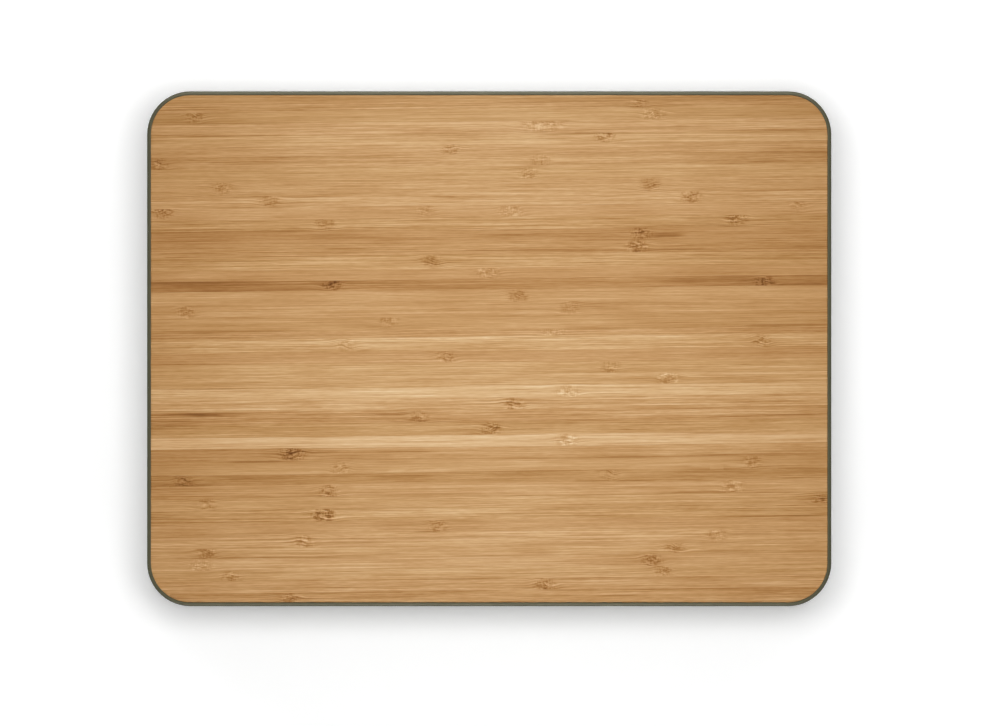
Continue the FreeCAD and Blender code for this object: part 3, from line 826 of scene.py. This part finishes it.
def dress_strips(mesh):
    """Writes where each face corner lies on its strip, how the strip looks, and its knuckle and streaks."""
    looks = strip_looks()
    knuckles = strip_knuckles()
    half_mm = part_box("bamboo_board")[1].x / MM
    numbers = [item.value for item in mesh.attributes["strip"].data]
    names = ("grain_place", "strip_place", "strip_look", "knuckle_place", "knuckle_look", "streak_first",
             "streak_second")
    values = {name: [] for name in names}
    for face, index in zip(mesh.polygons, numbers):
        look = looks[index]
        centre = face.center / MM
        spot = min(knuckles[index], key=lambda item: abs(item[0] - centre.x), default=None)
        first, second = nearest_streaks(centre.x, centre.y)
        for vertex in face.vertices:
            x, y, z = mesh.vertices[vertex].co / MM
            rear, front = glue_line_y(index, x), glue_line_y(index + 1, x)
            share = max(0.0, min(1.0, (y - front) / (rear - front)))
            line = look["front_line"] + share * (look["rear_line"] - look["front_line"])
            drift = look["left"] * max(0, -x / half_mm) + look["right"] * max(0, x / half_mm)
            # Painted shade: the tone darkens towards both ends of the board, where light falls off
            tone = look["tone"] + drift - END_PAINTED_SHADE * (x / half_mm) ** 2
            place, kind = knuckle_values(spot, x, y)
            values["grain_place"].append((x, y - GRAIN_LEAN * x, look["seed"]))
            values["strip_place"].append((share, line, look["contrast"]))
            values["strip_look"].append((tone, look["slope"], look["hue"]))
            values["knuckle_place"].append(place)
            values["knuckle_look"].append(kind)
            values["streak_first"].append(streak_values(first, x, y))
            values["streak_second"].append(streak_values(second, x, y))
    for name, corners in values.items():
        write_attribute(mesh, name, corners)
    mesh.attributes.remove(mesh.attributes["strip"])


# The board and the solids of the frame

def make_board(material):
    mesh = board_mesh()
    dress_strips(mesh)
    mesh.materials.append(material)
    board = bpy.data.objects.new("bamboo_strips", mesh)
    bpy.context.collection.objects.link(board)
    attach(board, "base")
    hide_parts("bamboo_board")


def dress_nodes(finishes):
    """Gives each solid of the frame the finish of its slot."""
    for subpart in frame["record"]["subparts"]:
        for slot in frame["nodes"][subpart["node"]].material_slots:
            slot.material = finishes[subpart["material_slot"]]


# Floor, light and camera

def floor_finish():
    """Pale floor. To the camera it is white, with the object's shadow on it."""
    material = bpy.data.materials.new("floor")
    material.use_nodes = True
    floor = NodeTree(material.node_tree)
    floor.nodes.remove(floor.nodes["Principled BSDF"])
    place = floor.add("TexCoord").outputs["Object"]
    distance = floor.add("VectorMath", {"operation": "LENGTH"}, Vector=place).outputs["Value"]
    brightness = floor.add("MapRange", Value=distance, From_Min=BODY_REACH, From_Max=SHADOW_REACH,
                           To_Min=FLOOR_WHITE, To_Max=FLOOR_WHITE_FAR).outputs[0]
    glow = floor.add("MapRange", {"interpolation_type": "SMOOTHSTEP"}, Value=distance, From_Min=SHADOW_REACH,
                     From_Max=SHADOW_REACH + SHADOW_FADE, To_Min=FLOOR_GLOW).outputs[0]
    shaded = floor.add("BsdfDiffuse", Color=brightness).outputs[0]
    white = floor.add("Emission", Strength=1.0).outputs[0]
    plain = floor.add("BsdfDiffuse", Color=(FLOOR_GREY, FLOOR_GREY, FLOOR_GREY, 1.0)).outputs[0]
    seen = floor.mix_shaders(glow, shaded, white)
    surface = floor.mix_shaders(floor.seen_directly(), plain, seen)
    floor.feed(floor.nodes["Material Output"].inputs["Surface"], surface)
    return material


def make_floor():
    mesh = bpy.data.meshes.new("floor")
    reach = FLOOR_REACH
    corners = [(-reach, -reach, 0), (reach, -reach, 0), (reach, reach, 0), (-reach, reach, 0)]
    mesh.from_pydata(corners, [], [(0, 1, 2, 3)])
    mesh.materials.append(floor_finish())
    floor = bpy.data.objects.new("floor", mesh)
    bpy.context.collection.objects.link(floor)


def make_room():
    """Soft light from all round, most of it from the rear, with a white horizon behind the object."""
    world = bpy.data.worlds.new("room")
    world.use_nodes = True
    room = NodeTree(world.node_tree)
    white = (1.0, 1.0, 1.0, 1.0)
    direction = room.add("SeparateXYZ", Vector=room.add("TexCoord").outputs["Generated"]).outputs
    level = room.add("MapRange", Value=direction["Y"], From_Min=-1.0, To_Min=ROOM_LIGHT_FRONT,
                     To_Max=ROOM_LIGHT_REAR).outputs[0]
    low = room.add("MapRange", Value=direction["Z"], From_Min=HORIZON_TOP, From_Max=HORIZON_FULL).outputs[0]
    soft_light = room.nodes["Background"]
    room.feed(soft_light.inputs["Color"], white)
    room.feed(soft_light.inputs["Strength"], level)
    horizon = room.add("Background", Color=white).outputs[0]
    share = room.product(low, room.seen_directly())
    surface = room.mix_shaders(share, soft_light.outputs[0], horizon)
    room.feed(room.nodes["World Output"].inputs["Surface"], surface)
    bpy.context.scene.world = world


def make_lamp(name, place, target, size, spread, watts, only_gloss):
    light = bpy.data.lights.new(name, "AREA")
    light.shape = "RECTANGLE"
    light.size, light.size_y = size
    light.spread = math.radians(spread)
    light.energy = watts
    lamp = bpy.data.objects.new(name, light)
    lamp.location = place
    lamp.rotation_euler = (Vector(target) - Vector(place)).to_track_quat("-Z", "Y").to_euler()
    lamp.visible_diffuse = not only_gloss
    bpy.context.collection.objects.link(lamp)


def make_camera():
    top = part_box("bamboo_board")[1].z
    camera_data = bpy.data.cameras.new("camera")
    camera_data.sensor_width = SENSOR_MM
    seen_width = PICTURE_WIDTH_PX * MM_PER_PIXEL * MM
    camera_data.lens = SENSOR_MM * CAMERA_ABOVE / seen_width
    camera = bpy.data.objects.new("camera", camera_data)
    camera.location = (AIM_X_MM * MM, AIM_Y_MM * MM, top + CAMERA_ABOVE)
    bpy.context.collection.objects.link(camera)
    bpy.context.scene.camera = camera


def make_scene():
    finishes = {
        "bamboo": bamboo_finish(),
        "olive_plastic": olive_finish(),
        "runner_plastic": runner_finish(),
        "silicone": silicone_finish(),
        "screw_steel": steel_finish(),
    }
    dress_nodes(finishes)
    make_board(finishes["bamboo"])
    make_floor()
    make_room()
    for name, values in LAMPS.items():
        make_lamp(name, *values)
    make_camera()
    bpy.context.scene.view_settings.view_transform = "Standard"


make_scene()
